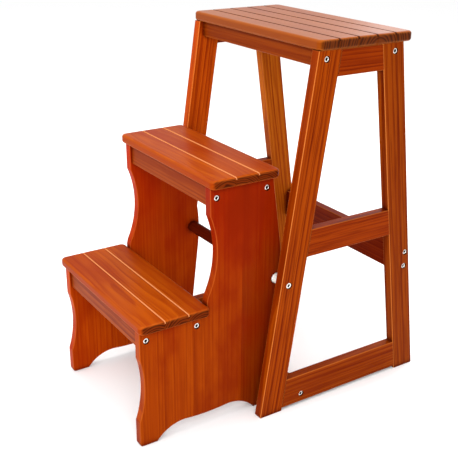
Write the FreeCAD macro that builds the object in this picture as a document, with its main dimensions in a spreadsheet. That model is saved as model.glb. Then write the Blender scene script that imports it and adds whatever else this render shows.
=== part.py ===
import FreeCAD, Part
import os
import re
import Sketcher

# A flip step ladder in pine: a trapezoid frame with a seat board on top, and a
# two-tread step unit that swings on two pivot bolts over the front and into the frame.
# Millimetres. X runs across the ladder, -Y is the side that is climbed, Z is up.
# The origin is on the floor, under the middle of the whole ladder.

os.makedirs("parts", exist_ok=True)
doc = FreeCAD.newDocument("StepLadder")

sizeList = [
    # seat board and frame
    ("seatTop", 650, "floor to the top of the seat board"),
    ("seatThickness", 17, "seat board thickness"),
    ("seatOverhang", 3, "seat board past the side frames, each end"),
    ("seatDepth", 195, "seat board front to back"),
    ("seatFrontY", 18.5, "front edge of the seat board"),
    ("frameWidth", 372, "over the outer faces of the two side frames"),
    ("sideThickness", 18, "thickness of legs and side rails"),
    ("frameMiddleY", 107.5, "middle of the side frames"),
    ("frameTopDepth", 176, "side frame depth under the seat"),
    ("frameFootDepth", 362, "side frame depth at the floor"),
    ("legWidth", 46, "leg width, measured level"),
    ("topRailHeight", 43, "side rail under the seat"),
    ("midRailBottom", 289.5, "floor to the middle side rail"),
    ("midRailHeight", 48.5, "middle side rail"),
    ("lowRailBottom", 5, "floor to the bottom side rail"),
    ("lowRailHeight", 55, "bottom side rail"),
    ("crossThickness", 17, "thickness of the aprons and stretchers of the frame"),
    ("seatApronHeight", 27.5, "aprons under the seat"),
    ("seatApronInset", 8, "apron face behind the leg face"),
    ("rearStretcherHeight", 55.5, "rear stretcher"),
    ("stretcherLanding", 11, "how far the stored lower tread lies over the rear stretcher"),
    ("stowGap", 0.3, "gap left above the rear stretcher by the stored tread"),
    ("lowStretcherY", 15.5, "centre of the bottom stretcher"),
    ("lowStretcherHeight", 31, "bottom stretcher"),
    # step unit
    ("pivotY", -21, "pivot axis"),
    ("pivotZ", 245, "floor to the pivot axis"),
    ("treadOverhang", 13, "treads past the side panels, each end"),
    ("treadDepth", 130, "treads front to back"),
    ("treadThickness", 16, "tread thickness"),
    ("lowTreadTop", 230, "floor to the lower tread"),
    ("lowTreadFront", -288.5, "front edge of the lower tread"),
    ("midTreadTop", 446, "floor to the middle tread"),
    ("midTreadFront", -156.5, "front edge of the middle tread"),
    ("panelGap", 21, "side frame to side panel, each side"),
    ("panelThickness", 16, "side panel thickness"),
    ("panelSetback", 4, "panel edge behind the tread edge"),
    ("kneeY", -4, "rearmost point of the side panels, beside the pivot"),
    ("footLength", 31, "each foot of a side panel"),
    ("footHeight", 47, "upright front of the panel's foot"),
    ("archHeight", 25.5, "arch between the feet of a panel"),
    ("archRun", 54, "length of the curved ends of the arch"),
    ("archDip", 2.5, "dip in the middle of the arch"),
    ("archShoulder", 7, "roundness of the arch's ends"),
    ("kneeRun", 35, "the knee is eased over this height, above and below the pivot"),
    ("kneeEase", 2.1, "roundness of the knee"),
    ("lowNeck", 50, "straight panel edge under the lower tread"),
    ("midNeck", 47, "straight panel edge under the middle tread"),
    ("lowWaist", 9, "hollow in the panel's lower front edge"),
    ("highWaist", 15, "hollow in the panel's upper front edge"),
    ("rearFootY", -31.5, "rear corner of the panel at the floor"),
    ("stepApronHeight", 35, "aprons under the treads"),
    ("stepApronThickness", 16, "apron thickness"),
    ("stepApronInset", 4.5, "apron face behind the panel edge"),
    ("rodDiameter", 22, "round rod between the panels"),
    # edges and grooves
    ("arris", 1.5, "rounding along legs, rails and panels"),
    ("boardRound", 5, "rounding of the top and bottom edges of the boards"),
    ("cornerRound", 10, "rounding of the corners of the boards"),
    ("footRound", 5, "rounding of the panel's front foot corner"),
    ("grooveRadius", 1.7, "round-bottomed groove in the boards"),
    ("grooveLift", 0.3, "groove centre above the board"),
    # fasteners
    ("boltDiameter", 6, "connector bolt"),
    ("boltLength", 50, "connector bolt under its head"),
    ("headDiameter", 9.5, "connector bolt head"),
    ("headHeight", 5, "connector bolt head"),
    ("socketAcross", 5.8, "circle round the hexagon socket"),
    ("socketDepth", 3, "depth of the hexagon socket"),
    ("boreSlack", 0.8, "counterbore radius over the head radius"),
    ("headRecess", 1.6, "bolt head below the surface"),
    ("boreEnd", 1.5, "empty bore past the end of a screw"),
    ("boltSpacing", 28, "between the two bolts at each end of the rear stretcher"),
    ("nutDiameter", 10, "barrel nut"),
    ("nutLength", 13, "barrel nut"),
    ("nutReach", 36, "from under the bolt head to the middle of the barrel nut"),
    ("screwDiameter", 4, "wood screw"),
    ("screwHead", 8, "wood screw head"),
    ("screwHeadHeight", 2.5, "wood screw head"),
    ("screwLength", 28, "wood screw with its head"),
    ("screwBite", 11, "how far a wood screw goes into a board"),
    ("screwFromPanel", 69, "wood screws from the side panels, inwards"),
    ("dowelDiameter", 8, "dowel pin in the side frames"),
    ("dowelLength", 32, "dowel pin"),
    ("dowelRoom", 1, "empty bore past each end of a dowel"),
    # pivot
    ("pivotDiameter", 8, "pivot bolt"),
    ("pivotHead", 10.5, "pivot bolt head"),
    ("pivotReach", 17, "pivot bolt inside the rod"),
    ("runningGap", 0.05, "radial gap between the pivot bolt and the leg"),
    ("sideGap", 0.3, "side play of each turning piece against the leg"),
    ("washerDiameter", 20, "washer on the panel"),
    ("washerThickness", 1.5, "washer on the panel"),
    ("spacerDiameter", 17, "spacer between panel and leg"),
    ("insertDiameter", 12, "threaded insert in the rod"),
    ("insertLength", 20, "threaded insert in the rod"),
]

sheet = doc.addObject("Spreadsheet::Sheet", "Sizes")
for row, (name, value, meaning) in enumerate(sizeList, 1):
    sheet.set(f"A{row}", name)
    sheet.set(f"B{row}", str(value))
    sheet.setAlias(f"B{row}", name)
    sheet.set(f"C{row}", meaning)
doc.recompute()
sizeNames = {name for name, value, meaning in sizeList}

# Places worked out from the sizes, each written once and used by name.
places = {}


def sized(text):
    """Spell a formula out in cells of the sheet."""
    def spell(match):
        word = match.group(0)
        if word in sizeNames:
            return "Sizes." + word
        if word in places:
            return "(" + sized(places[word]) + ")"
        return word
    return re.sub(r"[A-Za-z_]\w*", spell, str(text))


places.update({
    "sideOuter": "frameWidth / 2",
    "sideInner": "sideOuter - sideThickness",
    "seatWidth": "frameWidth + 2 * seatOverhang",
    "panelSpan": "2 * sideInner - 2 * panelGap",
    "treadWidth": "panelSpan + 2 * treadOverhang",
    "legTop": "seatTop - seatThickness",
    "legLean": "(frameFootDepth - frameTopDepth) / 2 / legTop",
    "headSeat": "headRecess + headHeight",
    "seatApronFront": "frameMiddleY - frameTopDepth / 2 + seatApronInset",
    "seatApronRear": "frameMiddleY + frameTopDepth / 2 - seatApronInset - crossThickness",
    "seatApronZ": "legTop - seatApronHeight / 2",
    "rearStretcherTop": "2 * pivotZ - lowTreadTop - stowGap",
    "rearStretcherY": "2 * pivotY - lowTreadFront - stretcherLanding",
    "rearStretcherZ": "rearStretcherTop - rearStretcherHeight / 2",
    "lowStretcherZ": "lowRailBottom + lowStretcherHeight / 2",
    "panelOuter": "panelSpan / 2",
    "panelInner": "panelOuter - panelThickness",
    "screwHalfSpan": "panelInner - screwFromPanel",
    "lowShelf": "lowTreadTop - treadThickness",
    "midShelf": "midTreadTop - treadThickness",
    "lowPanelFront": "lowTreadFront + panelSetback",
    "midPanelFront": "midTreadFront + panelSetback",
    "lowTreadRear": "lowTreadFront + treadDepth",
    "midTreadRear": "midTreadFront + treadDepth",
    "lowApronZ": "lowShelf - stepApronHeight / 2",
    "midApronZ": "midShelf - stepApronHeight / 2",
    "lowApronFrontY": "lowPanelFront + stepApronInset + stepApronThickness / 2",
    "lowApronRearY": "lowTreadRear - panelSetback - stepApronInset - 3 - stepApronThickness / 2",
    "midApronFrontY": "midPanelFront + stepApronInset + stepApronThickness / 2",
    "midApronRearY": "midTreadRear - panelSetback - stepApronInset - stepApronThickness / 2",
    "pivotHeadFace": "sideOuter - headRecess + sideGap",
    "pivotBoltLength": "pivotHeadFace - headHeight - panelInner + pivotReach",
})

# A scratch value, used to start each curve where its formulas put it.
scratch = doc.addObject("App::VarSet", "Scratch")
scratch.addProperty("App::PropertyFloat", "Number")


def number(text):
    scratch.setExpression("Number", sized(text))
    scratch.recompute()
    return scratch.Number


def bind(thing, prop, text):
    thing.setExpression(prop, sized(text))


def moveTo(thing, x=0, y=0, z=0, prop="Placement"):
    for axis, text in (("x", x), ("y", y), ("z", z)):
        bind(thing, f"{prop}.Base.{axis}", text)


def originPlane(body, role):
    return next(plane for plane in body.Origin.OriginFeatures if plane.Role == role)


def newBody(label, x=0, y=0, z=0):
    body = doc.addObject("PartDesign::Body", label)
    body.Label = label
    moveTo(body, x, y, z)
    return body


def newSketch(body, role):
    sketch = body.newObject("Sketcher::SketchObject", body.Name + "_outline")
    sketch.AttachmentSupport = [(originPlane(body, role), "")]
    sketch.MapMode = "FlatFace"
    return sketch


def fix(sketch, kind, *where):
    text = where[-1]
    index = sketch.addConstraint(Sketcher.Constraint(kind, *where[:-1], number(text)))
    bind(sketch, f"Constraints[{index}]", text)


def drawOutline(sketch, corners):
    """Close a loop of corners (u, v) or (u, v, bulge): a bulge bends the side that follows."""
    spots = [FreeCAD.Vector(number(corner[0]), number(corner[1]), 0) for corner in corners]
    ends = []
    for i, corner in enumerate(corners):
        here, there = spots[i], spots[(i + 1) % len(spots)]
        if len(corner) == 2:
            side = sketch.addGeometry(Part.LineSegment(here, there))
            ends.append((side, 1, 2))
            continue
        chord = there - here
        middle = (here + there) / 2
        outward = FreeCAD.Vector(chord.y, -chord.x, 0).normalize()
        arc = Part.Arc(here, middle + outward * number(corner[2]), there).toShape().Curve
        first, last = arc.parameter(here), arc.parameter(there)
        if arc.Axis.z < 0:
            arc = Part.Circle(arc.Center, FreeCAD.Vector(0, 0, 1), arc.Radius)
            first, last = arc.parameter(there), arc.parameter(here)
            ends.append((sketch.addGeometry(Part.ArcOfCircle(arc, first, last)), 2, 1))
        else:
            ends.append((sketch.addGeometry(Part.ArcOfCircle(arc, first, last)), 1, 2))
    for i, (side, start, end) in enumerate(ends):
        nextSide, nextStart, nextEnd = ends[(i + 1) % len(ends)]
        sketch.addConstraint(Sketcher.Constraint("Coincident", side, end, nextSide, nextStart))
        fix(sketch, "DistanceX", side, start, corners[i][0])
        fix(sketch, "DistanceY", side, start, corners[i][1])
    for i, corner in enumerate(corners):
        if len(corner) == 3:
            far = corners[(i + 1) % len(corners)]
            chord = f"(({far[0]}) - ({corner[0]})) ^ 2 + (({far[1]}) - ({corner[1]})) ^ 2"
            bulge = f"abs({corner[2]})"
            fix(sketch, "Radius", ends[i][0], f"({chord}) / (8 * {bulge}) + {bulge} / 2")


def pad(body, sketch, length):
    feature = body.newObject("PartDesign::Pad", body.Name + "_pad")
    feature.Profile = sketch
    bind(feature, "Length", length)
    doc.recompute()
    return feature


def roundEdges(body, radius, wanted):
    """Round the edges of the body's last feature that wanted(edge) picks."""
    base = body.Tip
    picked = [f"Edge{i}" for i, edge in enumerate(base.Shape.Edges, 1) if wanted(edge)]
    feature = body.newObject("PartDesign::Fillet", body.Name + "_round")
    feature.Base = (base, picked)
    bind(feature, "Radius", radius)
    doc.recompute()


turns = {
    "x": FreeCAD.Rotation(FreeCAD.Vector(0, 1, 0), 90),
    "y": FreeCAD.Rotation(FreeCAD.Vector(1, 0, 0), -90),
    "z": FreeCAD.Rotation(),
}


def drill(body, axis, x, y, z, diameter, depth):
    """Bore from (x, y, z) along +axis, in the body's own frame."""
    bore = body.newObject("PartDesign::SubtractiveCylinder", body.Name + "_bore")
    bore.Placement = FreeCAD.Placement(FreeCAD.Vector(), turns[axis])
    moveTo(bore, x, y, z)
    bind(bore, "Radius", f"({diameter}) / 2")
    bind(bore, "Height", depth)


def boltBore(body, side, y, z, shank="boltDiameter", head="headDiameter"):
    """A bore through a side piece with a counterbore on its outer face; side is -1 or 1."""
    thick = "sideThickness" if body.Label.startswith(frameSides) else "panelThickness"
    drill(body, "x", -1, y, z, shank, f"{thick} + 2")
    start = "-1" if side < 0 else f"{thick} - headSeat"
    drill(body, "x", start, y, z, f"{head} + 2 * boreSlack", "headSeat + 1")


frameSides = ("front_leg", "rear_leg", "top_rail", "mid_rail", "low_rail")
sides = (("left", -1), ("right", 1))


def legEdge(height, front, inner):
    """Y of a leg's edge at a height: front or rear leg, inner edge towards the window."""
    reach = f"(frameTopDepth / 2 + legLean * (legTop - ({height})) - {'legWidth' if inner else '0'})"
    return f"frameMiddleY {'-' if front else '+'} {reach}"


railSpans = {
    "top_rail": ("legTop - topRailHeight", "topRailHeight"),
    "mid_rail": ("midRailBottom", "midRailHeight"),
    "low_rail": ("lowRailBottom", "lowRailHeight"),
}


def dowelHeights(rail):
    bottom, height = railSpans[rail]
    return [f"{bottom} + ({height}) * {share}" for share in (0.26, 0.74)]


def dowelBores(body, front, rails):
    for rail in rails:
        for z in dowelHeights(rail):
            start = f"{legEdge(z, front, True)} - dowelLength / 2 - dowelRoom"
            drill(body, "y", "sideThickness / 2", start, z, "dowelDiameter", "dowelLength + 2 * dowelRoom")


boltPlaces = {
    "front_leg": [("seatApronFront + crossThickness / 2", "seatApronZ")],
    "rear_leg": [
        ("seatApronRear + crossThickness / 2", "seatApronZ"),
        ("rearStretcherY + crossThickness / 2", "rearStretcherZ - boltSpacing / 2"),
        ("rearStretcherY + crossThickness / 2", "rearStretcherZ + boltSpacing / 2"),
    ],
    "low_rail": [("lowStretcherY", "lowStretcherZ")],
}


def longEdges(edge):
    return edge.Length > 70


def sideBody(name, word, side):
    return newBody(f"{name}_{word}", x="-sideOuter" if side < 0 else "sideInner")


def makeLeg(name, word, side):
    front = name == "front_leg"
    body = sideBody(name, word, side)
    sketch = newSketch(body, "YZ_Plane")
    drawOutline(sketch, [
        (legEdge("0", front, False), "0"),
        (legEdge("0", front, True), "0"),
        (legEdge("legTop", front, True), "legTop"),
        (legEdge("legTop", front, False), "legTop"),
    ])
    pad(body, sketch, "sideThickness")
    roundEdges(body, "arris", longEdges)
    dowelBores(body, front, railSpans)
    for y, z in boltPlaces[name]:
        boltBore(body, side, y, z)
    if front:
        boltBore(body, side, "pivotY", "pivotZ", "(pivotDiameter + 2 * runningGap)", "pivotHead")
    return body


def makeRail(name, word, side):
    body = sideBody(name, word, side)
    bottom, height = railSpans[name]
    top = f"{bottom} + {height}"
    sketch = newSketch(body, "YZ_Plane")
    drawOutline(sketch, [
        (legEdge(bottom, True, True), bottom),
        (legEdge(bottom, False, True), bottom),
        (legEdge(top, False, True), top),
        (legEdge(top, True, True), top),
    ])
    pad(body, sketch, "sideThickness")
    roundEdges(body, "arris", longEdges)
    dowelBores(body, True, [name])
    dowelBores(body, False, [name])
    for y, z in boltPlaces.get(name, []):
        boltBore(body, side, y, z)
    return body


def makeCross(label, halfSpan, y, z, thickness, height, boltHeights, headFace, screws=False):
    """A level board across the ladder; y and z are its centre, boltHeights are from its centre."""
    body = newBody(label, y=y, z=z)
    sketch = newSketch(body, "YZ_Plane")
    half = (f"({thickness}) / 2", f"({height}) / 2")
    drawOutline(sketch, [
        (f"-{half[0]}", f"-{half[1]}"),
        (half[0], f"-{half[1]}"),
        (half[0], half[1]),
        (f"-{half[0]}", half[1]),
    ])
    sketch.AttachmentOffset = FreeCAD.Placement()
    bind(sketch, "AttachmentOffset.Base.z", f"-({halfSpan})")
    pad(body, sketch, f"2 * ({halfSpan})")
    roundEdges(body, "arris", longEdges)
    tip = f"({headFace} - headHeight - boltLength)"
    nut = f"({headFace} - headHeight - nutReach)"
    for rise in boltHeights:
        drill(body, "x", tip, "0", rise, "boltDiameter", f"{halfSpan} - {tip} + 1")
        drill(body, "x", f"-({halfSpan}) - 1", "0", rise, "boltDiameter", f"{halfSpan} - {tip} + 1")
        for sign in ("-", ""):
            drill(body, "y", f"{sign}{nut}", "-nutLength / 2", rise, "nutDiameter", f"{thickness}")
    if screws:
        top = f"({height}) / 2"
        for sign in ("-", ""):
            x = f"{sign}screwHalfSpan"
            drill(body, "z", x, "0", f"-{top} - 1", "screwDiameter", f"{height} + 2")
            drill(body, "z", x, "0", f"-{top} - 1", "screwHead",
                  f"{height} + 1 + screwBite - screwLength + screwHeadHeight")
    return body


def makeBoard(label, width, depth, thickness, front, top, grooves, screwRows):
    """A level board with rounded edges and grooves along its length."""
    body = newBody(label, y=front, z=f"{top} - {thickness}")
    sketch = newSketch(body, "XY_Plane")
    drawOutline(sketch, [
        (f"-{width} / 2", "0"),
        (f"{width} / 2", "0"),
        (f"{width} / 2", depth),
        (f"-{width} / 2", depth),
    ])
    pad(body, sketch, thickness)
    roundEdges(body, "cornerRound", lambda edge: abs(edge.tangentAt(edge.FirstParameter).z) > 0.9)
    levels = (0, number(thickness))
    roundEdges(body, "boardRound", lambda edge: any(
        abs(edge.BoundBox.ZMin - level) < 0.01 and abs(edge.BoundBox.ZMax - level) < 0.01
        for level in levels))
    for groove in range(1, grooves + 1):
        y = f"{depth} * {groove} / {grooves + 1}"
        drill(body, "x", f"-{width} / 2 - 1", y, f"{thickness} + grooveLift",
              "2 * grooveRadius", f"{width} + 2")
    for y in screwRows:
        for sign in ("-", ""):
            drill(body, "z", f"{sign}screwHalfSpan", f"{y} - ({front})", "-1", "screwDiameter",
                  "screwBite + boreEnd")
    return body


def makePanel(word, side):
    body = newBody(f"side_panel_{word}", x="-panelOuter" if side < 0 else "panelInner")
    sketch = newSketch(body, "YZ_Plane")
    rise = "(midShelf - pivotZ)"
    backSlope = f"((midTreadRear - panelSetback - 1 - kneeY) / {rise})"
    lowSlope = "((rearFootY - kneeY) / pivotZ)"
    drawOutline(sketch, [
        ("lowTreadFront", "0"),
        ("lowTreadFront + footLength", "0", "-archShoulder"),
        ("lowTreadFront + footLength + archRun", "archHeight", "archDip"),
        ("rearFootY - footLength - archRun", "archHeight", "-archShoulder"),
        ("rearFootY - footLength", "0"),
        ("rearFootY", "0"),
        (f"kneeY + {lowSlope} * kneeRun", "pivotZ - kneeRun", "kneeEase"),
        (f"kneeY + {backSlope} * kneeRun", "pivotZ + kneeRun"),
        ("midTreadRear - panelSetback - 1", "midShelf"),
        ("midPanelFront", "midShelf"),
        ("midPanelFront + 0.5", "midShelf - midNeck", "-highWaist"),
        ("lowTreadRear + 2", "lowTreadTop + 13"),
        ("lowTreadRear", "lowTreadTop + 4"),
        ("lowTreadRear", "lowShelf"),
        ("lowPanelFront", "lowShelf"),
        ("lowPanelFront", "lowShelf - lowNeck", "-lowWaist"),
        ("lowTreadFront", "footHeight"),
    ])
    pad(body, sketch, "panelThickness")
    front = number("lowTreadFront")
    roundEdges(body, "footRound", lambda edge: edge.BoundBox.YMax < front + 0.01
               and edge.BoundBox.ZMax < 0.01)
    # the underside between the feet keeps its sawn edge
    thick, archTop = number("panelThickness"), number("archHeight + archDip") + 1
    roundEdges(body, "arris", lambda edge: edge.BoundBox.XLength < 0.01 and edge.Length > 3
               and (edge.BoundBox.XMin < 0.01 or edge.BoundBox.XMax > thick - 0.01)
               and edge.BoundBox.ZMax > archTop)
    for y, z in panelBolts:
        boltBore(body, side, y, z)
    drill(body, "x", "-1", "pivotY", "pivotZ", "pivotDiameter", "panelThickness + 2")
    return body


panelBolts = [
    ("lowApronFrontY", "lowApronZ"),
    ("lowApronRearY", "lowApronZ"),
    ("midApronFrontY", "midApronZ"),
    ("midApronRearY", "midApronZ"),
]


def makeHeadedPin(label, diameter, length, head):
    """A bolt along -X with its head's face at the origin and a hexagon socket in it."""
    body = newBody(label)
    sketch = newSketch(body, "XY_Plane")
    drawOutline(sketch, [
        ("0", "0"),
        ("0", f"{head} / 2"),
        ("-headHeight", f"{head} / 2"),
        ("-headHeight", f"{diameter} / 2"),
        (f"-headHeight - ({length})", f"{diameter} / 2"),
        (f"-headHeight - ({length})", "0"),
    ])
    turned = body.newObject("PartDesign::Revolution", label + "_turned")
    turned.Profile = sketch
    turned.ReferenceAxis = (sketch, ["H_Axis"])
    turned.Angle = 360
    doc.recompute()
    socket = body.newObject("PartDesign::SubtractivePrism", label + "_socket")
    socket.Polygon = 6
    socket.Placement = FreeCAD.Placement(FreeCAD.Vector(), turns["x"])
    moveTo(socket, "-socketDepth", 0, 0)
    bind(socket, "Circumradius", "socketAcross / 2")
    bind(socket, "Height", "socketDepth + 1")
    doc.recompute()
    return body


def makeTurned(label, profile):
    """A piece turned about its own X axis, from a half section (x, r)."""
    body = newBody(label)
    sketch = newSketch(body, "XY_Plane")
    drawOutline(sketch, profile)
    turned = body.newObject("PartDesign::Revolution", label + "_turned")
    turned.Profile = sketch
    turned.ReferenceAxis = (sketch, ["H_Axis"])
    turned.Angle = 360
    doc.recompute()
    return body


def tube(outer, inner, length):
    return [("0", inner), ("0", outer), (length, outer), (length, inner)]


def makeGroup(label, master, spots):
    """Copies of one piece as one node; a spot is (x, y, z, rotation)."""
    copies = []
    for i, (x, y, z, rotation) in enumerate(spots):
        copy = doc.addObject("App::Link", f"{label}_{i}")
        copy.LinkedObject = master
        copy.LinkTransform = False
        copy.Placement = FreeCAD.Placement(FreeCAD.Vector(), rotation)
        moveTo(copy, x, y, z)
        copies.append(copy)
    group = doc.addObject("Part::Compound", label)
    group.Label = label
    group.Links = copies
    return group


ahead = FreeCAD.Rotation()
about = FreeCAD.Rotation(FreeCAD.Vector(0, 0, 1), 180)
upright = FreeCAD.Rotation(FreeCAD.Vector(0, 1, 0), -90)
across = FreeCAD.Rotation(FreeCAD.Vector(0, 0, 1), 90)


def bothSides(x, places):
    """Spots at x on the right and at -x, turned about, on the left."""
    right = [(x, y, z, ahead) for y, z in places]
    return right + [(f"-({x})", y, z, about) for y, z in places]


nodes = []

# the frame
for word, side in sides:
    for legName in ("front_leg", "rear_leg"):
        nodes.append(makeLeg(legName, word, side))
    for railName in railSpans:
        nodes.append(makeRail(railName, word, side))

frameHead = "(sideOuter - headRecess)"
seatRows = ("seatApronFront + crossThickness / 2", "seatApronRear + crossThickness / 2")
for label, row in zip(("front_apron", "rear_apron"), seatRows):
    nodes.append(makeCross(label, "sideInner", row, "seatApronZ", "crossThickness",
                           "seatApronHeight", ["0"], frameHead, screws=True))
nodes.append(makeCross("rear_stretcher", "sideInner", "rearStretcherY + crossThickness / 2",
                       "rearStretcherZ", "crossThickness", "rearStretcherHeight",
                       ["-boltSpacing / 2", "boltSpacing / 2"], frameHead))
nodes.append(makeCross("bottom_stretcher", "sideInner", "lowStretcherY", "lowStretcherZ",
                       "crossThickness", "lowStretcherHeight", ["0"], frameHead))
nodes.append(makeBoard("seat_board", "seatWidth", "seatDepth", "seatThickness", "seatFrontY",
                       "seatTop", 4, seatRows))

# the step unit
stepHead = "(panelOuter - headRecess)"
for word, side in sides:
    nodes.append(makePanel(word, side))
stepAprons = {
    "lower_front_apron": panelBolts[0],
    "lower_rear_apron": panelBolts[1],
    "middle_front_apron": panelBolts[2],
    "middle_rear_apron": panelBolts[3],
}
for label, (y, z) in stepAprons.items():
    nodes.append(makeCross(label, "panelInner", y, z, "stepApronThickness", "stepApronHeight",
                           ["0"], stepHead, screws=True))
nodes.append(makeBoard("lower_tread", "treadWidth", "treadDepth", "treadThickness",
                       "lowTreadFront", "lowTreadTop", 2, ("lowApronFrontY", "lowApronRearY")))
nodes.append(makeBoard("middle_tread", "treadWidth", "treadDepth", "treadThickness",
                       "midTreadFront", "midTreadTop", 2, ("midApronFrontY", "midApronRearY")))
rod = makeTurned("cross_rod", [
    ("-panelInner", "insertDiameter / 2"),
    ("-panelInner", "rodDiameter / 2"),
    ("panelInner", "rodDiameter / 2"),
    ("panelInner", "insertDiameter / 2"),
    ("panelInner - insertLength", "insertDiameter / 2"),
    ("panelInner - insertLength", "0"),
    ("-panelInner + insertLength", "0"),
    ("-panelInner + insertLength", "insertDiameter / 2"),
])
moveTo(rod, 0, "pivotY", "pivotZ")
nodes.append(rod)

# fasteners
bolt = makeHeadedPin("ConnectorBolt", "boltDiameter", "boltLength", "headDiameter")
frameBolts = [place for group in boltPlaces.values() for place in group]
nodes.append(makeGroup("frame_bolts", bolt, bothSides(frameHead, frameBolts)))
nodes.append(makeGroup("panel_bolts", bolt, bothSides(stepHead, panelBolts)))

nut = newBody("BarrelNut")
nutSketch = newSketch(nut, "XZ_Plane")
nutSketch.addGeometry(Part.Circle(FreeCAD.Vector(), FreeCAD.Vector(0, 0, 1), number("nutDiameter / 2")))
nutSketch.addConstraint(Sketcher.Constraint("Coincident", 0, 3, -1, 1))
fix(nutSketch, "Radius", 0, "nutDiameter / 2")
nutPad = pad(nut, nutSketch, "nutLength")
nutPad.Midplane = True
drill(nut, "x", "-nutDiameter", "0", "0", "boltDiameter", "2 * nutDiameter")
nutBack = "headHeight + nutReach"
nodes.append(makeGroup("frame_barrel_nuts", nut, bothSides(f"{frameHead} - ({nutBack})", frameBolts)))
nodes.append(makeGroup("panel_barrel_nuts", nut, bothSides(f"{stepHead} - ({nutBack})", panelBolts)))

screw = makeTurned("WoodScrew", [
    ("0", "0"),
    ("0", "screwHead / 2"),
    ("screwHeadHeight", "screwHead / 2"),
    ("screwHeadHeight", "screwDiameter / 2"),
    ("screwLength - 3", "screwDiameter / 2"),
    ("screwLength", "0"),
])
for label, rows, board in (
    ("seat_screws", seatRows, ["legTop", "legTop"]),
    ("tread_screws", [y for y, z in panelBolts], ["lowShelf", "lowShelf", "midShelf", "midShelf"]),
):
    nodes.append(makeGroup(label, screw, [
        (f"{sign}screwHalfSpan", y, f"{shelf} + screwBite - screwLength", upright)
        for y, shelf in zip(rows, board) for sign in ("-", "")]))

dowel = makeTurned("DowelPin", [
    ("-dowelLength / 2", "0"),
    ("-dowelLength / 2", "dowelDiameter / 2 - 1"),
    ("-dowelLength / 2 + 1", "dowelDiameter / 2"),
    ("dowelLength / 2 - 1", "dowelDiameter / 2"),
    ("dowelLength / 2", "dowelDiameter / 2 - 1"),
    ("dowelLength / 2", "0"),
])
for word, side in sides:
    middle = f"{'-' if side < 0 else ''}(sideOuter - sideThickness / 2)"
    nodes.append(makeGroup(f"side_dowels_{word}", dowel, [
        (middle, legEdge(z, front, True), z, across)
        for front in (True, False) for rail in railSpans for z in dowelHeights(rail)]))

# the pivot
pivotBolt = makeHeadedPin("PivotBolt", "pivotDiameter", "pivotBoltLength", "pivotHead")
washer = makeTurned("PivotWasher", tube("washerDiameter / 2", "pivotDiameter / 2", "washerThickness"))
spacer = makeTurned("PivotSpacer", tube("spacerDiameter / 2", "pivotDiameter / 2",
                                        "sideInner - sideGap - panelOuter - washerThickness"))
insert = makeTurned("RodInsert", tube("insertDiameter / 2", "pivotDiameter / 2", "insertLength"))
pivotSet = {
    "pivot_bolt": (pivotBolt, "pivotHeadFace"),
    "pivot_washer": (washer, "panelOuter"),
    "pivot_spacer": (spacer, "panelOuter + washerThickness"),
    "rod_insert": (insert, "panelInner - insertLength"),
}
for name, (master, x) in pivotSet.items():
    right, left = bothSides(x, [("pivotY", "pivotZ")])
    nodes.append(makeGroup(f"{name}_left", master, [left]))
    nodes.append(makeGroup(f"{name}_right", master, [right]))

doc.recompute()

faults = [thing.Name for thing in doc.Objects if {"Invalid", "Error"} & set(thing.State)]
for node in nodes:
    if node.Shape.isNull() or not node.Shape.isValid() or not node.Shape.Solids:
        faults.append(node.Label)
if faults:
    raise RuntimeError("failed: " + ", ".join(faults))

for node in nodes:
    node.Shape.exportStep(f"parts/{node.Label}.step")
    print(node.Label, len(node.Shape.Solids), round(node.Shape.Volume))
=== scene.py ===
import bmesh
import bpy
from math import cos, pi, radians, sin
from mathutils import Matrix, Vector


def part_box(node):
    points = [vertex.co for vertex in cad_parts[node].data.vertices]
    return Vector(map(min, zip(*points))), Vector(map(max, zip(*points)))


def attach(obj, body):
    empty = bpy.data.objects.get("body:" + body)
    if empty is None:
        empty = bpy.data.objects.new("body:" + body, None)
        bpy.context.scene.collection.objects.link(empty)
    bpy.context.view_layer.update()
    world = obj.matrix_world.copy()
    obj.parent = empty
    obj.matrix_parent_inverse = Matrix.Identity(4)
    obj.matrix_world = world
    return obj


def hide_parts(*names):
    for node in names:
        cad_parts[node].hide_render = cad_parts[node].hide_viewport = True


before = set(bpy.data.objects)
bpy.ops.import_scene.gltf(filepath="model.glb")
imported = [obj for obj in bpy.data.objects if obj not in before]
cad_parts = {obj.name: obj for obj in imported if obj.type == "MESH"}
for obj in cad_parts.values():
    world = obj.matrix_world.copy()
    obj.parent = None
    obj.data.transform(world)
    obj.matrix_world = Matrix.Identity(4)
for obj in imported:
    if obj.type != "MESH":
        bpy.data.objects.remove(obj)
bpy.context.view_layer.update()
upX, upY, upZ = Vector((1, 0, 0)), Vector((0, 1, 0)), Vector((0, 0, 1))
print("frame loaded:", len(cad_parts), "nodes")


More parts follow.
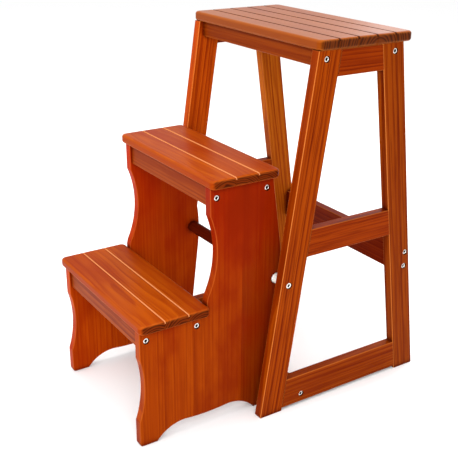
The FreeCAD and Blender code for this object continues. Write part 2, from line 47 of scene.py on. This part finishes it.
class Wire:  # one output of a node, on its way to an input
    def __init__(self, finish, socket):
        self.finish = finish
        self.socket = socket

    def maths(self, operation, *values):
        return self.finish.node("ShaderNodeMath", {"operation": operation},
                                {i: value for i, value in enumerate(values)})

    def __add__(self, other):
        return self.maths("ADD", self, other)

    def __radd__(self, other):
        return self.maths("ADD", other, self)

    def __sub__(self, other):
        return self.maths("SUBTRACT", self, other)

    def __rsub__(self, other):
        return self.maths("SUBTRACT", other, self)

    def __mul__(self, other):
        return self.maths("MULTIPLY", self, other)

    def __rmul__(self, other):
        return self.maths("MULTIPLY", other, self)

    def __truediv__(self, other):
        return self.maths("DIVIDE", self, other)

    def __rtruediv__(self, other):
        return self.maths("DIVIDE", other, self)

    def __pow__(self, other):
        return self.maths("POWER", self, other)

    def __rpow__(self, other):
        return self.maths("POWER", other, self)

    def __gt__(self, other):
        return self.maths("GREATER_THAN", self, other)

    def __abs__(self):
        return self.maths("ABSOLUTE", self)

    def fraction(self):
        return self.maths("FRACT", self)

    def whole(self):
        return self.maths("FLOOR", self)

    def ramp(self, low, high, start=0.0, end=1.0):  # smooth change from start to end
        return self.finish.node("ShaderNodeMapRange", {"interpolation_type": "SMOOTHSTEP"},
                                {"Value": self, "From Min": low, "From Max": high,
                                 "To Min": start, "To Max": end})


class Finish:  # the nodes of a material or of the world
    def __init__(self, owner):
        self.owner = owner
        owner.use_nodes = True
        self.tree = owner.node_tree
        self.tree.nodes.clear()

    def node(self, kind, settings=None, inputs=None, out=0):
        made = self.tree.nodes.new(kind)
        for key, value in (settings or {}).items():
            setattr(made, key, value)
        for key, value in (inputs or {}).items():
            self.plug(made.inputs[key], value)
        return Wire(self, made.outputs[out] if made.outputs else None)

    def plug(self, socket, value):
        if isinstance(value, Wire):
            self.tree.links.new(value.socket, socket)
        elif hasattr(socket.default_value, "__len__") and len(socket.default_value) == 4:
            socket.default_value = (*value[:3], 1.0)
        else:
            socket.default_value = value

    def spot(self):
        return self.node("ShaderNodeTexCoord", out="Object")

    def dot(self, vector, direction):
        return self.node("ShaderNodeVectorMath", {"operation": "DOT_PRODUCT"},
                         {0: vector, 1: direction}, out="Value")

    def point(self, x, y, z):
        return self.node("ShaderNodeCombineXYZ", None, {"X": x, "Y": y, "Z": z})

    def noise(self, vector, scale, detail=3.0, rough=0.5):
        return self.node("ShaderNodeTexNoise", {"noise_dimensions": "3D"},
                         {"Vector": vector, "Scale": scale, "Detail": detail, "Roughness": rough})

    def pick(self, number):  # a chance value, the same for the same number
        return self.node("ShaderNodeTexWhiteNoise", {"noise_dimensions": "1D"}, {"W": number})

    def mix(self, factor, first, second):  # sockets 6, 7 and 2 are the colour ones
        return self.node("ShaderNodeMix", {"data_type": "RGBA"},
                         {0: factor, 6: first, 7: second}, out=2)

    def close(self, fixed, varied, height, strength, distance):
        bump = self.node("ShaderNodeBump", None,
                         {"Strength": strength, "Distance": distance, "Height": height})
        shader = self.node("ShaderNodeBsdfPrincipled", None, {**fixed, **varied, "Normal": bump})
        self.node("ShaderNodeOutputMaterial", None, {"Surface": shader})
        return self.owner


pine = {
    "early": (1.42, 1.95, 1.8),  # spring wood, against the board's own colour
    "late": (0.48, 0.26, 0.3),  # the hard dark lines
    "deep": (0.64, 0.26, 0.3),  # patches and seams that drank more stain
    "jointShade": (0.30, 0.12, 0.2),  # painted shade in the corners where boards meet
    "rim": (0.62, 0.42, 0.5),  # the long edges of a board
    "endLight": (0.36, 0.29, 0.7),  # end grain, between its rings
    "endDark": (0.09, 0.05, 0.15),
    "wornAndHighlit": (0.560, 0.165, 0.030),  # stain rubbed thin on the arrises, with a painted highlight along them
    "wander": 0.020,  # how far the rings stray along a piece
    "ripple": 0.003,
    "drift": 3.5,  # fat and lean years, in ring gaps
    "fibreStretch": 0.018,
    "fibreScale": 900,
    "streakStretch": 0.04,
    "streakScale": 210,
    "cloudStretch": 0.25,
    "cloudScale": 16,
    "mottle": 0.30,
    "wearAndHighlightWidth": 0.0020,
    # reach and strength of the painted shade where boards meet
    "jointShadeWidth": 0.015,
    "jointShadeStrength": 0.80,
    "roughness": 0.34,
    "gloss": 0.02,
    "glossTint": (1.0, 0.35, 0.10),
    "coat": 0.02,
    "coatIor": 1.25,
    "coatRoughness": 0.14,
    "relief": 0.0003,
}


def shade(stain, factors):
    return tuple(value * factor for value, factor in zip(stain, factors))


def boardSpace(mat, grain):  # a board's own directions, its staves, and what runs along its grain
    place = mat.spot()
    run = mat.dot(place, grain["along"])
    side = mat.dot(place, grain["across"])
    depth = mat.dot(place, grain["through"])
    seed = grain["seed"]

    def drawnOut(stretch, scale, detail, rough=0.5):
        return mat.noise(mat.point(run * stretch + seed, side, depth), scale, detail, rough)

    board = {
        "place": place, "run": run, "side": side, "depth": depth,
        "fibre": drawnOut(pine["fibreStretch"], pine["fibreScale"], 2.0, 0.6),
        "streak": drawnOut(pine["streakStretch"], pine["streakScale"], 3.0, 0.6),
        "cloud": drawnOut(grain["cloudStretch"], pine["cloudScale"], 3.0),
    }
    if grain["stave"]:  # glued staves: each is another board, with its own tone and rings
        board["stavePlace"] = (side - grain["staveStart"]) / grain["stave"]
        board["staveIndex"] = board["stavePlace"].whole()
        board["staveTone"] = mat.pick(board["staveIndex"] + seed)
    return board


def growthRings(mat, grain, board):  # the season each spot grew in, and the dark late lines
    run, side, depth = board["run"], board["side"], board["depth"]
    seed = grain["seed"]
    pithSide, pithDepth = grain["pith"]
    offSide = side - pithSide
    offDepth = depth - pithDepth
    if grain["ownPith"]:
        middle = (board["staveIndex"] + 0.5) * grain["stave"] + grain["staveStart"]
        offSide = side - middle + (board["staveTone"] - 0.5) * grain["stave"] * 1.6
        offDepth = offDepth + board["staveTone"] * 0.02
    elif grain["stave"]:
        offSide = offSide + board["staveTone"] * 0.3
    radius = (offSide * offSide + offDepth * offDepth) ** 0.5

    sway = mat.noise(mat.point(run * grain["bend"] + seed, side * 8, depth * 8), 1.0, 2.0)
    ripple = mat.noise(mat.point(run * 3 + seed, side * 60, depth * 60), 1.0, 2.0)
    drift = mat.noise(mat.point(radius * 70 + seed, run * 0.6, 0.0), 1.0, 2.0)
    radius = radius + (sway - 0.5) * pine["wander"] + (ripple - 0.5) * pine["ripple"]
    radius = radius + (drift - 0.5) * grain["ringGap"] * pine["drift"]
    year = radius / grain["ringGap"]
    season = year.fraction()
    strength = 0.25 + mat.pick(year.whole() + seed) * 0.75
    return season, season.ramp(0.45, 0.92) * (1 - season.ramp(0.92, 1.0)) * strength


def faceTone(mat, grain, board, season, late):
    stain, lines = grain["stain"], grain["contrast"]
    early, dark, deep = (shade(stain, pine[key]) for key in ("early", "late", "deep"))
    streak, cloud = board["streak"], board["cloud"]
    tone = mat.mix(season.ramp(0.0, 0.8, lines * 0.8, 0.0), stain, early)
    tone = mat.mix(late * lines, tone, dark)
    tone = mat.mix(streak.ramp(0.48, 0.72) * lines * 0.8, tone, dark)
    tone = mat.mix(streak.ramp(0.50, 0.30) * lines * 0.5, tone, early)
    tone = mat.mix(board["fibre"].ramp(0.45, 0.8) * 0.18, tone, early)
    if grain["stave"]:
        tone = mat.mix(board["staveTone"] * grain["staveTone"], tone, deep)
        seam = abs(board["stavePlace"].fraction() - 0.5)
        tone = mat.mix(seam.ramp(0.488, 0.5) * grain["seam"], tone, deep)
    if grain["fadeAndShade"]:  # the side boards darken towards the top and at the back stave: part stain, part painted shade under the tread and beside the leg
        fadeAndShade = grain["fadeAndShade"]
        rise = (mat.dot(board["place"], upZ) + (cloud - 0.5) * 0.35).ramp(*fadeAndShade["heights"])
        tone = mat.mix(rise * fadeAndShade["rise"], tone, fadeAndShade["high"])
        back = mat.dot(board["place"], upY).ramp(*fadeAndShade["backs"])
        tone = mat.mix(back * fadeAndShade["back"] * (1 - rise * 0.75), tone, fadeAndShade["rear"])
    return mat.mix(cloud.ramp(0.44, 0.66) * grain["mottle"], tone, deep)


def grooveTone(mat, board, groove, tone):  # the wall nearer the front is in shade, the other is lit
    half = groove["half"]
    where = board["side"] - groove["side"]
    low = board["depth"] > groove["above"]
    dark = where.ramp(-half, -half * 0.5) * (1 - where.ramp(0.0, half * 0.4))
    light = where.ramp(0.0, half * 0.4) * (1 - where.ramp(half * 0.9, half * 1.2))
    tone = mat.mix(dark * low * groove["darkness"], tone, groove["dark"])
    return mat.mix(light * low * groove["lightness"], tone, groove["light"])


def stainedPine(name, grain):
    mat = Finish(bpy.data.materials.new("pine_" + name))
    board = boardSpace(mat, grain)
    season, late = growthRings(mat, grain, board)
    tone = faceTone(mat, grain, board, season, late)

    # end grain drinks more stain, and shows its rings sharply
    facing = mat.node("ShaderNodeNewGeometry", out="True Normal")
    turned = mat.node("ShaderNodeVectorTransform",
                      {"vector_type": "NORMAL", "convert_from": "WORLD", "convert_to": "OBJECT"},
                      {"Vector": facing})
    endFace = abs(mat.dot(turned, grain["along"])).ramp(0.55, 0.95)
    endTone = mat.mix(season.ramp(0.20, 0.70) * (1 - season.ramp(0.80, 1.0)),
                      shade(grain["stain"], pine["endLight"]), shade(grain["stain"], pine["endDark"]))
    tone = mat.mix(endFace * 0.96, tone, endTone)

    if grain["rimTone"]:  # the long edges of a board are made darker than its face
        rim = abs(mat.dot(turned, grain["across"])).ramp(0.35, 0.90)
        tone = mat.mix(rim * grain["rimTone"], tone, shade(grain["stain"], pine["rim"]))

    # painted shade where boards meet, darkest in the corners
    nook = mat.node("ShaderNodeAmbientOcclusion", {"samples": 8},
                    {"Distance": pine["jointShadeWidth"]}, out="AO")
    tone = mat.mix(nook.ramp(0.50, 0.92, 1.0, 0.0) * pine["jointShadeStrength"], tone,
                   shade(grain["stain"], pine["jointShade"]))

    # arrises rubbed thin, and a painted highlight along them
    soft = mat.node("ShaderNodeBevel", {"samples": 4}, {"Radius": pine["wearAndHighlightWidth"]})
    tilt = abs(mat.dot(turned, grain["through"]))
    arris = tilt.ramp(0.08, 0.35) * (1 - tilt.ramp(0.90, 0.985))
    edge = (1 - mat.dot(soft, facing)).ramp(0.02, 0.30) * 0.5 + arris * 0.9
    edge = edge * board["cloud"].ramp(0.2, 0.7, 0.75, 1.0)
    tone = mat.mix(edge * grain["wearAndHighlight"] * (1 - endFace * 0.6), tone, pine["wornAndHighlit"])

    fibre, streak = board["fibre"], board["streak"]
    rough = pine["roughness"] + (fibre - 0.5) * 0.12 + edge * 0.08 + endFace * 0.15
    for groove in grain["grooves"]:
        tone = grooveTone(mat, board, groove, tone)
        rough = rough + (1 - abs(board["side"] - groove["side"]).ramp(0.0015, 0.0025)) * 0.4
    return mat.close({"Specular IOR Level": grain["gloss"], "Specular Tint": pine["glossTint"],
                      "Coat Weight": pine["coat"], "Coat IOR": pine["coatIor"],
                      "Coat Roughness": pine["coatRoughness"]},
                     {"Base Color": tone, "Roughness": rough},
                     late * 0.6 + fibre * 0.5 + streak * 0.4, 0.35, pine["relief"])


def leaning(name):  # direction from the foot of a leg to its top
    spots = [vertex.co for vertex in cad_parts[name].data.vertices]
    low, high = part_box(name)
    slack = 0.0005

    def middle(level):
        near = [spot.y for spot in spots if abs(spot.z - level) < slack]
        return (min(near) + max(near)) / 2

    return Vector((0, middle(high[2]) - middle(low[2]), high[2] - low[2])).normalized()


seatGroove = {"count": 4, "depth": 0.004, "half": 0.0023,
              "dark": (0.012, 0.002, 0.001), "darkness": 1.0,
              "light": (0.040, 0.006, 0.002), "lightness": 0.8}
treadGroove = {"count": 2, "depth": 0.004, "half": 0.0019,
               "dark": (0.200, 0.022, 0.002), "darkness": 0.7,
               "light": (0.780, 0.300, 0.110), "lightness": 0.68}


def grooveLines(name, look):
    low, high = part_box(name)
    pitch = (high[1] - low[1]) / (look["count"] + 1)
    return [{**look, "side": low[1] + pitch * (i + 1), "above": high[2] - look["depth"]}
            for i in range(look["count"])]


woodPieces = {  # which way the grain runs, the board's colour, and how its rings lie
    "front_leg_right": {"run": "leg", "stain": (0.218, 0.0255, 0.0006), "ringGap": 0.0078,
                        "contrast": 0.85, "pithOff": (0.085, 0.020)},
    "rear_leg_right": {"run": "leg", "stain": (0.188, 0.0245, 0.0008), "ringGap": 0.0082,
                       "contrast": 0.80, "pithOff": (-0.090, 0.016)},
    # the left legs below carry a brighter stain than their right twins above: painted light for the
    # left side, which sits in shade
    "front_leg": {"run": "leg", "stain": (0.350, 0.0400, 0.0012), "ringGap": 0.0078,
                  "contrast": 0.75, "pithOff": (0.085, 0.020)},
    "rear_leg": {"run": "leg", "stain": (0.330, 0.0600, 0.0030), "ringGap": 0.0082,
                 "contrast": 0.75, "pithOff": (-0.090, 0.016)},
    "top_rail": {"run": "y", "stain": (0.180, 0.0170, 0.0005), "ringGap": 0.0080,
                 "contrast": 0.60, "pithOff": (0.090, 0.030)},
    "mid_rail": {"run": "y", "stain": (0.185, 0.0180, 0.0008), "ringGap": 0.0075,
                 "contrast": 0.85, "pithOff": (-0.080, 0.022)},
    "low_rail": {"run": "y", "stain": (0.205, 0.0265, 0.0010), "ringGap": 0.0085,
                 "contrast": 0.70, "pithOff": (0.100, 0.030)},
    "lower_front_apron": {"run": "x", "stain": (0.195, 0.0270, 0.0030), "ringGap": 0.0105,
                          "contrast": 0.90, "pithOff": (0.070, 0.040)},
    "middle_front_apron": {"run": "x", "stain": (0.205, 0.0285, 0.0025), "ringGap": 0.0085,
                           "contrast": 0.50, "pithOff": (0.070, 0.040)},
    "front_apron": {"run": "x", "stain": (0.168, 0.0225, 0.0015), "ringGap": 0.0080,
                    "contrast": 0.45, "pithOff": (0.070, 0.040)},
    "apron": {"run": "x", "stain": (0.205, 0.0285, 0.0025), "ringGap": 0.0080,
              "contrast": 0.45, "pithOff": (0.070, 0.040)},
    # a darker stain than the front stretcher: painted shade for the shadow it lies in between the
    # rear legs
    "rear_stretcher": {"run": "x", "stain": (0.130, 0.010, 0.0010), "ringGap": 0.0080,
                       "contrast": 0.50, "pithOff": (0.080, 0.030)},
    "stretcher": {"run": "x", "stain": (0.200, 0.024, 0.0014), "ringGap": 0.0080,
                  "contrast": 0.50, "pithOff": (0.080, 0.030)},
    "rod": {"run": "x", "stain": (0.085, 0.006, 0.0010), "ringGap": 0.0060,
            "contrast": 0.30, "pithOff": (0.030, 0.030), "wearAndHighlight": 0.0},
    # a brighter stain than the right side board below: painted light for the left side, which sits in
    # shade
    "side_panel_left": {"run": "z", "stain": (0.370, 0.0400, 0.0008), "ringGap": 0.0095,
                        "contrast": 0.40, "pithOff": (0.300, 0.020),
                        "stave": 0.066, "staveStart": -0.09, "mottle": 0.50, "cloudStretch": 0.55,
                        "fadeAndShade": {"heights": (0.10, 0.42), "rise": 0.75,
                                 "high": (0.310, 0.0080, 0.0003),
                                 "backs": (-0.0905, -0.0895), "back": 0.20,
                                 "rear": (0.30, 0.030, 0.0006)}},
    # its near-black back stave is a darker stave with the painted shade of the leg beside it
    "side_panel": {"run": "z", "stain": (0.255, 0.0310, 0.0007), "ringGap": 0.0095,
                   "contrast": 0.46, "pithOff": (0.300, 0.020),
                   "stave": 0.066, "staveStart": -0.09, "mottle": 0.62, "cloudStretch": 0.55,
                   "fadeAndShade": {"heights": (0.10, 0.40), "rise": 0.75,
                            "high": (0.205, 0.0038, 0.0002),
                            "backs": (-0.0905, -0.0895), "back": 0.50,
                            "rear": (0.075, 0.0012, 0.0002)}},
    "seat_board": {"run": "board", "stain": (0.265, 0.056, 0.0025), "ringGap": 0.0062,
                   "contrast": 0.30, "pithOff": (0.022, -0.016), "mottle": 0.25, "gloss": 0.11},
    "tread": {"run": "board", "stain": (0.362, 0.058, 0.0022), "ringGap": 0.0042,
              "contrast": 0.40, "pithOff": (0.0, -0.018), "mottle": 0.55, "gloss": 0.022},
}
# how strongly each kind of piece shows rubbed arrises with their painted highlight
wearAndHighlightByRun = {"leg": 0.80, "x": 0.40, "y": 0.45, "z": 0.26, "board": 0.14}
treadStaves = {"ownPith": True, "staveTone": 0.55, "seam": 0.0}
panelStaves = {"ownPith": False, "staveTone": 0.22, "seam": 0.35}
flatBoard = {"rimTone": 0.6, "bend": 3.0}
uprightBoard = {"rimTone": 0.0, "bend": 1.2}
gridRuns = {  # along the grain, across it, and through the board
    "x": (upX, upZ, upY), "y": (upY, upZ, upX), "z": (upZ, upY, upX), "board": (upX, upY, upZ),
}


def grainOf(name, kind, order):
    run = kind["run"]
    if run == "leg":
        along = leaning(name)
        across, through = along.cross(upX), upX
    else:
        along, across, through = gridRuns[run]
    low, high = (Vector(corner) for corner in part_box(name))
    centre = (low + high) / 2
    offSide, offDepth = kind["pithOff"]
    board = run == "board"
    tread = "tread" in name
    groove = seatGroove if name == "seat_board" else treadGroove
    return {
        "along": along, "across": across, "through": through,
        "pith": (across.dot(centre) + offSide * (1 + 0.2 * sin(order * 2.4)),
                 through.dot(centre) + offDepth),
        "ringGap": kind["ringGap"], "contrast": kind["contrast"], "stain": kind["stain"],
        "seed": 3.1 + order * 1.73,
        "stave": (high.y - low.y) / (groove["count"] + 1) if tread else kind.get("stave", 0),
        "staveStart": low.y if tread else kind.get("staveStart", 0),
        **(treadStaves if tread else panelStaves),
        **(flatBoard if board else uprightBoard),
        "mottle": kind.get("mottle", pine["mottle"]),
        "cloudStretch": kind.get("cloudStretch", pine["cloudStretch"]),
        "fadeAndShade": kind.get("fadeAndShade"),
        "wearAndHighlight": kind.get("wearAndHighlight", wearAndHighlightByRun[run]),
        "gloss": kind.get("gloss", pine["gloss"]),
        "grooves": grooveLines(name, groove) if board else [],
    }


def dress(name, material):
    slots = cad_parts[name].data.materials
    if not slots:
        slots.append(material)
    for i in range(len(slots)):
        slots[i] = material


woodNames = [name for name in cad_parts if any(key in name for key in woodPieces)]
for order, name in enumerate(sorted(woodNames)):
    kind = next(kind for key, kind in woodPieces.items() if key in name)
    dress(name, stainedPine(name, grainOf(name, kind, order)))
print("wood finished:", len(woodNames), "pieces")

metals = {
    "socket_shade": {"tone": (0.030, 0.024, 0.020), "dull": (0.012, 0.010, 0.008),
                     "roughness": 0.60},  # painted shade in the hexagon sockets
    "bright_zinc": {"tone": (0.78, 0.77, 0.74), "dull": (0.42, 0.41, 0.40), "roughness": 0.24},
    "yellow_zinc": {"tone": (0.62, 0.56, 0.40), "dull": (0.30, 0.26, 0.18), "roughness": 0.38},
}


def platedSteel(name, look):
    mat = Finish(bpy.data.materials.new(name))
    place = mat.spot()
    brushed = mat.noise(mat.point(mat.dot(place, upX) * 30, mat.dot(place, upY) * 900,
                                  mat.dot(place, upZ) * 900), 1.0, 3.0)
    spots = mat.noise(place, 420, 4.0, 0.65)
    tone = mat.mix(spots.ramp(0.52, 0.75) * 0.6, look["tone"], look["dull"])
    rough = look["roughness"] + (brushed - 0.5) * 0.16 + spots.ramp(0.5, 0.8) * 0.15
    return mat.close({"Metallic": 1.0}, {"Base Color": tone, "Roughness": rough},
                     brushed + spots * 0.4, 0.12, 0.00006)


spacerNylon = {"clean": (0.80, 0.79, 0.74), "handled": (0.62, 0.58, 0.50), "roughness": 0.42,
               "glow": 0.1}
dowelBeech = {"pale": (0.52, 0.34, 0.18), "fleck": (0.36, 0.20, 0.09), "roughness": 0.6}


def nylon(name):
    mat = Finish(bpy.data.materials.new(name))
    place = mat.spot()
    grit = mat.noise(place, 1300, 2.0)
    stain = mat.noise(place, 60, 3.0)
    tone = mat.mix(stain.ramp(0.4, 0.8) * 0.5, spacerNylon["clean"], spacerNylon["handled"])
    return mat.close({"Subsurface Weight": spacerNylon["glow"]},
                     {"Base Color": tone, "Roughness": spacerNylon["roughness"] + grit * 0.12},
                     grit, 0.2, 0.00005)


def bareBeech(name):
    mat = Finish(bpy.data.materials.new(name))
    place = mat.spot()
    fleck = mat.noise(mat.point(mat.dot(place, upX) * 900, mat.dot(place, upY) * 60,
                                mat.dot(place, upZ) * 900), 1.0, 2.0)
    tone = mat.mix(fleck.ramp(0.4, 0.7), dowelBeech["pale"], dowelBeech["fleck"])
    return mat.close({}, {"Base Color": tone, "Roughness": dowelBeech["roughness"] + fleck * 0.1},
                     fleck, 0.3, 0.0002)


zinc = platedSteel("bright_zinc", metals["bright_zinc"])
darkSocket = platedSteel("socket_shade", metals["socket_shade"])
passivated = platedSteel("yellow_zinc", metals["yellow_zinc"])
whiteNylon = nylon("white_nylon")
beech = bareBeech("bare_beech")
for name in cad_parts:
    if name in woodNames:
        continue
    if "dowel" in name:
        dress(name, beech)
    elif "spacer" in name:
        dress(name, whiteNylon)
    elif "nuts" in name or "screws" in name or "insert" in name:
        dress(name, passivated)
    else:
        dress(name, zinc)
print("metal and nylon finished")

boltLook = {
    "headHeight": 0.005,
    "connectorShank": 0.003,  # radius of the furniture bolts
    "pivotShank": 0.004,
    "rimChamfer": 0.0007,
    "underChamfer": 0.0003,
    "tipTaper": 0.0008,
    "socketAcross": 0.0058,
    "socketLead": 0.0004,
    "socketDepth": 0.003,
    "socketCone": 0.0007,
    "around": 48,
    "sharpFrom": 35,  # degrees
}


def islands(name):  # the separate solids of a node, each as its corner box
    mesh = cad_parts[name].data
    spots = {}
    owner = list(range(len(mesh.vertices)))

    def root(i):
        while owner[i] != i:
            owner[i] = owner[owner[i]]
            i = owner[i]
        return i

    for vertex in mesh.vertices:  # corners at one place count as one
        key = tuple(round(value, 6) for value in vertex.co)
        owner[root(vertex.index)] = root(spots.setdefault(key, vertex.index))
    for edge in mesh.edges:
        owner[root(edge.vertices[0])] = root(edge.vertices[1])
    groups = {}
    for vertex in mesh.vertices:
        groups.setdefault(root(vertex.index), []).append(vertex.co)
    return [(Vector([min(co[k] for co in group) for k in range(3)]),
             Vector([max(co[k] for co in group) for k in range(3)])) for group in groups.values()]


def addBolt(mesh, low, high, shankRadius):
    side = 1 if low.x + high.x > 0 else -1
    face = high.x if side > 0 else low.x
    length = high.x - low.x
    centre = (low + high) / 2
    head = (high.y - low.y) / 2
    headHeight, around = boltLook["headHeight"], boltLook["around"]
    rim, under, taper = boltLook["rimChamfer"], boltLook["underChamfer"], boltLook["tipTaper"]
    hexRadius = boltLook["socketAcross"] / 2

    def ring(depth, radius, hexagon=False):
        made = []
        for i in range(around):
            angle = 2 * pi * i / around
            reach = radius
            if hexagon:
                reach = radius * cos(pi / 6) / cos((angle % (pi / 3)) - pi / 6)
            made.append(mesh.verts.new((face - side * depth, centre.y + cos(angle) * reach,
                                        centre.z + sin(angle) * reach)))
        return made

    rings = [
        ring(boltLook["socketDepth"], hexRadius * 0.96, True),
        ring(boltLook["socketLead"], hexRadius * 0.98, True),
        ring(0, hexRadius * 1.12, True),
        ring(0, head - rim * 1.15),
        ring(rim * 0.35, head - rim * 0.35),
        ring(rim * 1.15, head),
        ring(headHeight - under, head),
        ring(headHeight, head - under),
        ring(headHeight, shankRadius),
        ring(length - taper, shankRadius),
        ring(length, shankRadius - taper),
    ]
    # faces inside the hex socket, walls and floor, take the dark second material: painted shade
    for number, (first, second) in enumerate(zip(rings, rings[1:])):
        for i in range(around):
            j = (i + 1) % around
            made = mesh.faces.new((first[i], first[j], second[j], second[i]))
            made.material_index = 1 if number == 0 else 0
    socketTip = boltLook["socketDepth"] + boltLook["socketCone"]
    for end, depth, look in ((rings[0], socketTip, 1), (rings[-1], length, 0)):
        middle = mesh.verts.new((face - side * depth, centre.y, centre.z))
        for i in range(around):
            made = mesh.faces.new((end[i], end[(i + 1) % around], middle))
            made.material_index = look


def turnedBolts(pieceName, nodes, body, shankRadius):
    mesh = bmesh.new()
    for node in nodes:
        for low, high in islands(node):
            addBolt(mesh, low, high, shankRadius)
    bmesh.ops.recalc_face_normals(mesh, faces=mesh.faces)
    data = bpy.data.meshes.new(pieceName)
    mesh.to_mesh(data)
    mesh.free()
    data.shade_smooth()
    data.set_sharp_from_angle(angle=radians(boltLook["sharpFrom"]))
    data.materials.append(zinc)
    data.materials.append(darkSocket)
    piece = bpy.data.objects.new(pieceName, data)
    bpy.context.scene.collection.objects.link(piece)
    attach(piece, body)
    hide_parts(*nodes)


turnedBolts("frame_connector_bolts", ["frame_bolts"], "main_frame", boltLook["connectorShank"])
turnedBolts("panel_connector_bolts", ["panel_bolts"], "step_unit", boltLook["connectorShank"])
turnedBolts("pivot_bolt_pair", ["pivot_bolt_left", "pivot_bolt_right"], "step_unit",
            boltLook["pivotShank"])
print("bolts turned")

studio = {
    "floorSize": 12.0,
    "floorTone": (0.97, 0.97, 0.97),
    "floorSpeck": (0.95, 0.95, 0.95),
    "floorDrop": 0.0005,  # under the feet, so the two faces don't share a plane
    "sky": (1.0, 1.0, 1.0),
    "skyStrength": 1.0,
    "lights": [
        # name, place, aim, size, watts
        ("key", (0.6, -2.3, 1.6), (0.0, 0.0, 0.3), 3.2, 56),
        ("fill", (1.5, -0.9, 1.1), (0.0, 0.0, 0.3), 0.9, 12),
        ("top", (-0.3, 0.5, 2.6), (0.0, 0.0, 0.5), 1.6, 26),
        ("back", (-1.0, 2.3, 1.5), (0.0, 0.0, 0.3), 2.0, 20),
    ],
}
camera = {
    "place": (1.1956, -0.8014, 0.8674),
    "aim": (0.0481, -0.0529, 0.3076),
    "roll": 0.0089,
    "lens": 66.16,
    "sensor": 36.0,
}


def aimed(thing, place, aim):
    thing.location = place
    thing.rotation_euler = (Vector(place) - Vector(aim)).to_track_quat("Z", "Y").to_euler()
    bpy.context.scene.collection.objects.link(thing)


floorMesh = bmesh.new()
bmesh.ops.create_grid(floorMesh, x_segments=1, y_segments=1, size=studio["floorSize"] / 2)
floorData = bpy.data.meshes.new("floor")
floorMesh.to_mesh(floorData)
floorMesh.free()
paper = Finish(bpy.data.materials.new("pale_floor"))
speckle = paper.noise(paper.spot(), 3.0, 2.0)
paperTone = paper.mix(speckle * 0.3, studio["floorTone"], studio["floorSpeck"])
floorData.materials.append(paper.close({"Roughness": 0.9, "Specular IOR Level": 0.1},
                                       {"Base Color": paperTone}, speckle, 0.02, 0.0001))
floor = bpy.data.objects.new("floor", floorData)
bpy.context.scene.collection.objects.link(floor)
floor.location = (0, 0, -studio["floorDrop"])

for name, place, aim, size, watts in studio["lights"]:
    light = bpy.data.lights.new(name, "AREA")
    light.size = size
    light.energy = watts
    aimed(bpy.data.objects.new(name, light), place, aim)

sky = Finish(bpy.data.worlds.new("studio"))
glow = sky.node("ShaderNodeBackground", None,
                {"Color": studio["sky"], "Strength": studio["skyStrength"]})
sky.node("ShaderNodeOutputWorld", None, {"Surface": glow})
bpy.context.scene.world = sky.owner
bpy.context.scene.view_settings.view_transform = "Standard"

view = bpy.data.cameras.new("camera")
view.lens = camera["lens"]
view.sensor_width = camera["sensor"]
viewer = bpy.data.objects.new("camera", view)
aimed(viewer, camera["place"], camera["aim"])
viewer.rotation_euler.rotate_axis("Z", camera["roll"])
bpy.context.scene.camera = viewer
print("studio ready")
